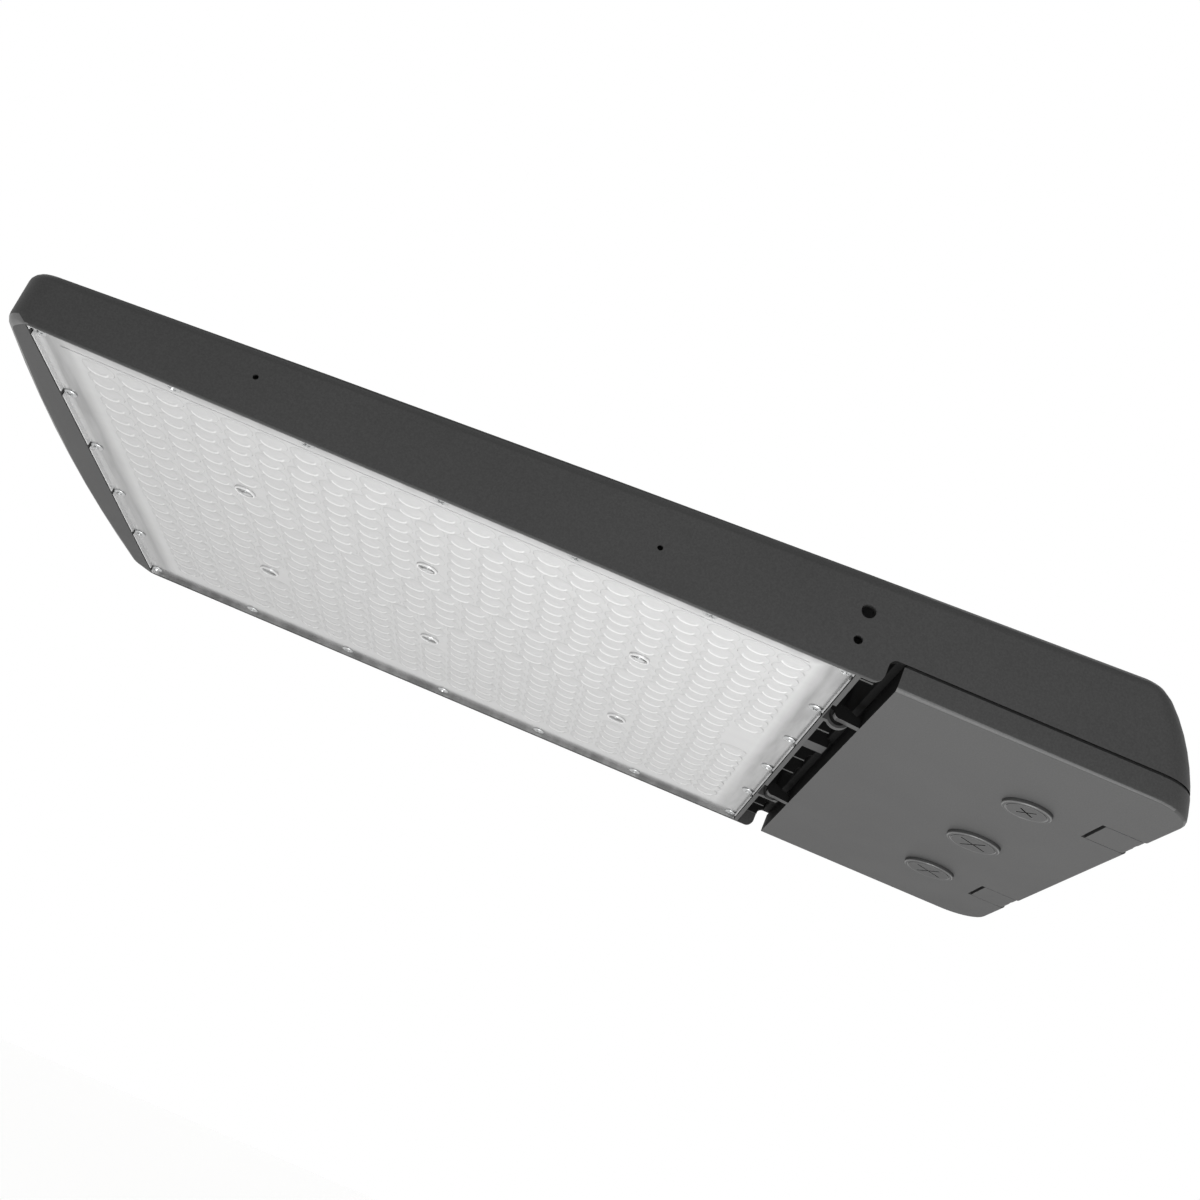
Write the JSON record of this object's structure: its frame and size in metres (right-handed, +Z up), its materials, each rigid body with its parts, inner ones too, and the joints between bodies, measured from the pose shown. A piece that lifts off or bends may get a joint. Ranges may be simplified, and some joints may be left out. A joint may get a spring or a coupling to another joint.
{
  "type": "shoebox area light",
  "caption": "Slim wedge-shaped LED area light with a flat lens plate, finned top and a hinged driver door with latches and round plugs.",
  "frame": {"origin": "centre of the bounding box at the faces of the door plugs, the lowest place", "axes": "+X from the lens end to the door end, +Z up, the light shines along -Z"},
  "size_m": [0.645, 0.379, 0.0617],
  "materials": {
    "coated_aluminium": "fine textured powder coat, satin",
    "lens_polycarbonate": "clear moulded polycarbonate with an optic relief",
    "silicone_seal": "matte",
    "stainless_screws": "bright",
    "led_board": "white solder mask",
    "white_plastic": "semi gloss",
    "cable_jacket": "matte",
    "driver_case": "satin",
    "black_plastic": "matte",
    "green_screw": "green passivated"
  },
  "bodies": {
    "fixture": {"housing": "coated_aluminium", "lens_plate": "lens_polycarbonate", "lens_gasket": "silicone_seal", "lens_edge_screws": "stainless_screws", "lens_field_screws": "stainless_screws", "led_board_1": "led_board", "led_board_2": "led_board", "led_board_3": "led_board", "led_board_4": "led_board", "led_board_5": "led_board", "led_board_6": "led_board", "led_connector": "white_plastic", "led_cable": "cable_jacket", "cable_grommet": "silicone_seal", "driver": "driver_case", "driver_screws": "stainless_screws", "surge_protector": "black_plastic", "surge_screw": "stainless_screws", "terminal_block": "white_plastic", "terminal_screws": "stainless_screws", "ground_screw": "green_screw", "driver_leads": "cable_jacket", "surge_leads": "cable_jacket", "door_seal": "silicone_seal"},
    "door_tray": {"door": "coated_aluminium", "hinge_pins": "stainless_screws", "plug_near": "coated_aluminium", "plug_middle": "coated_aluminium", "plug_far": "coated_aluminium", "plug_seals": "silicone_seal", "latch_pins": "stainless_screws", "latch_springs": "stainless_screws"},
    "latch_near": {"latch_lever_near": "coated_aluminium"},
    "latch_far": {"latch_lever_far": "coated_aluminium"}
  },
  "joints": [
    {"name": "door_hinge", "type": "hinge", "parent": "fixture", "child": "door_tray", "pos_m": [0.1501, 0, 0.0074], "axis": [0, 1, 0], "range_deg": [0, 90]},
    {"name": "latch_turn_near", "type": "hinge", "parent": "door_tray", "child": "latch_near", "pos_m": [0.3192, -0.1056, 0.0059], "axis": [0, -1, 0], "range_deg": [0, 30], "stiffness_Nm_per_rad": 0.05},
    {"name": "latch_turn_far", "type": "hinge", "parent": "door_tray", "child": "latch_far", "pos_m": [0.3192, 0.1056, 0.0059], "axis": [0, -1, 0], "range_deg": [0, 30], "stiffness_Nm_per_rad": 0.05}
  ]
}
